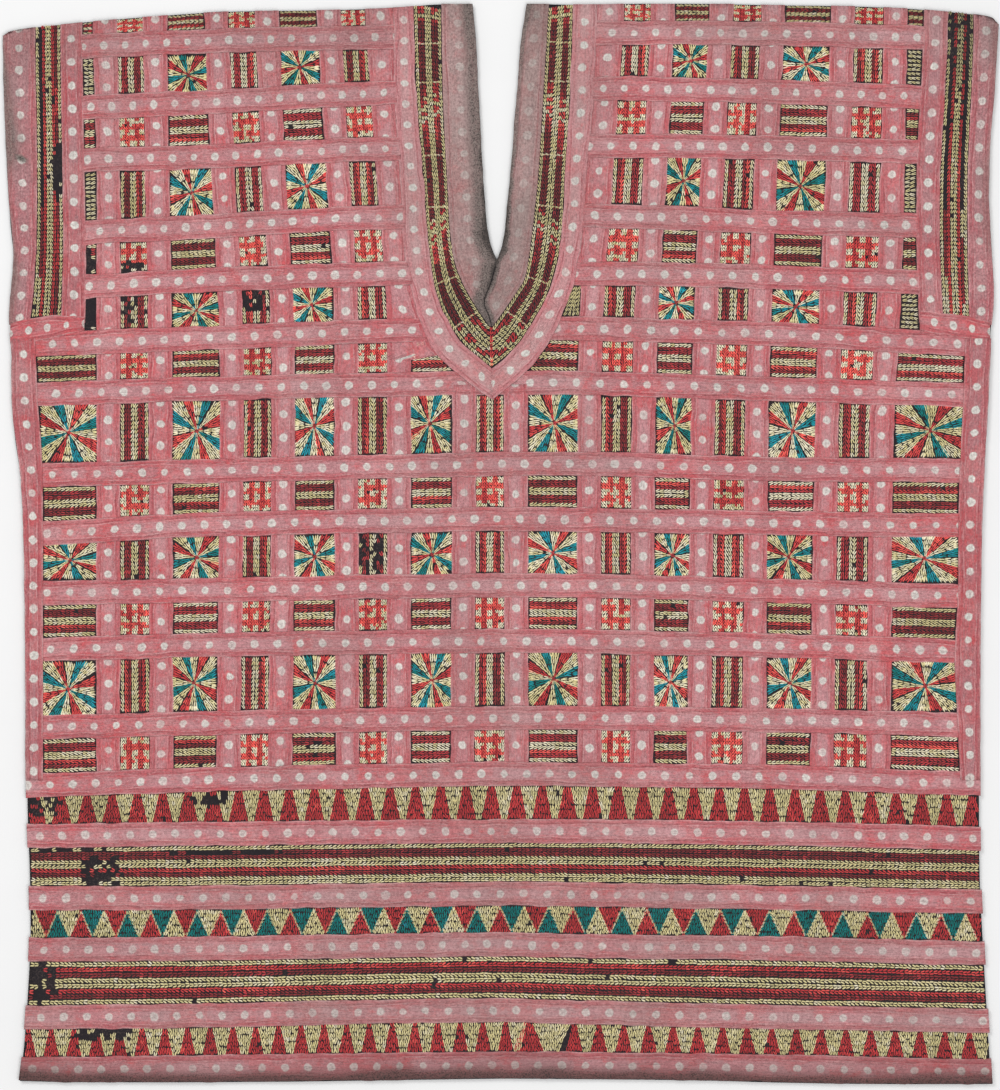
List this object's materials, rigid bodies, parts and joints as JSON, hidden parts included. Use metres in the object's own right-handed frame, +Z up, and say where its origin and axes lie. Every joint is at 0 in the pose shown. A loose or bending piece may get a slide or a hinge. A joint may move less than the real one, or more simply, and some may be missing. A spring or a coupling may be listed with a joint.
{
  "type": "waistcoat",
  "caption": "Pull-on sleeveless waistcoat laid flat, slit V neck, chain-stitched cells under a lattice of dotted cotton strips.",
  "frame": {"origin": "under the middle of the garment's footprint, on the surface it lies on", "axes": "+Z up from the surface, +Y from hem to shoulders, +X to the right of the front as seen from above"},
  "size_m": [0.5799, 0.63, 0.0066],
  "materials": {
    "ground_cotton": "matt dark plain-weave cotton",
    "dotted_cotton": "faded pink-red cotton strip with one row of resist-dyed white dots",
    "greyed_cotton": "the same cotton, greyed by wear at neck and armholes",
    "cream_thread": "cream-yellow chain-stitch thread",
    "maroon_thread": "maroon chain-stitch thread",
    "red_thread": "red chain-stitch thread",
    "teal_thread": "teal chain-stitch thread"
  },
  "bodies": {
    "root": {"back_panel": "ground_cotton", "front_panel": "ground_cotton", "upright_v01": "dotted_cotton", "upright_v02": "dotted_cotton", "upright_v03": "dotted_cotton", "upright_v04": "dotted_cotton", "upright_v05": "dotted_cotton", "upright_v06": "dotted_cotton", "upright_v07": "dotted_cotton", "upright_v08": "dotted_cotton", "upright_v09": "dotted_cotton", "upright_v10": "dotted_cotton", "upright_v11": "dotted_cotton", "upright_v12": "dotted_cotton", "upright_v13": "dotted_cotton", "upright_v14": "dotted_cotton", "chest_u01_left": "dotted_cotton", "chest_u01_right": "dotted_cotton", "chest_u02_left": "dotted_cotton", "chest_u02_right": "dotted_cotton", "chest_u03_left": "dotted_cotton", "chest_u03_right": "dotted_cotton", "chest_u04_left": "dotted_cotton", "chest_u04_right": "dotted_cotton", "chest_u05_left": "dotted_cotton", "chest_u05_right": "dotted_cotton", "cross_h01_left": "dotted_cotton", "cross_h01_right": "dotted_cotton", "cross_h02_left": "dotted_cotton", "cross_h02_right": "dotted_cotton", "cross_h03": "dotted_cotton", "cross_h04": "dotted_cotton", "cross_h05": "dotted_cotton", "cross_h06": "dotted_cotton", "cross_h07": "dotted_cotton", "cross_h08": "dotted_cotton", "cross_h09": "dotted_cotton", "cross_h10": "dotted_cotton", "cross_h11": "dotted_cotton", "cross_h12": "dotted_cotton", "cross_h13": "dotted_cotton", "side_border_left": "dotted_cotton", "side_border_right": "dotted_cotton", "armhole_inner_left": "dotted_cotton", "armhole_inner_right": "dotted_cotton", "underarm_left": "dotted_cotton", "underarm_right": "dotted_cotton", "neck_outer_left": "dotted_cotton", "neck_outer_right": "dotted_cotton", "armhole_outer_left": "greyed_cotton", "armhole_outer_right": "greyed_cotton", "neck_inner_left": "greyed_cotton", "neck_inner_right": "greyed_cotton"}
  },
  "joints": []
}
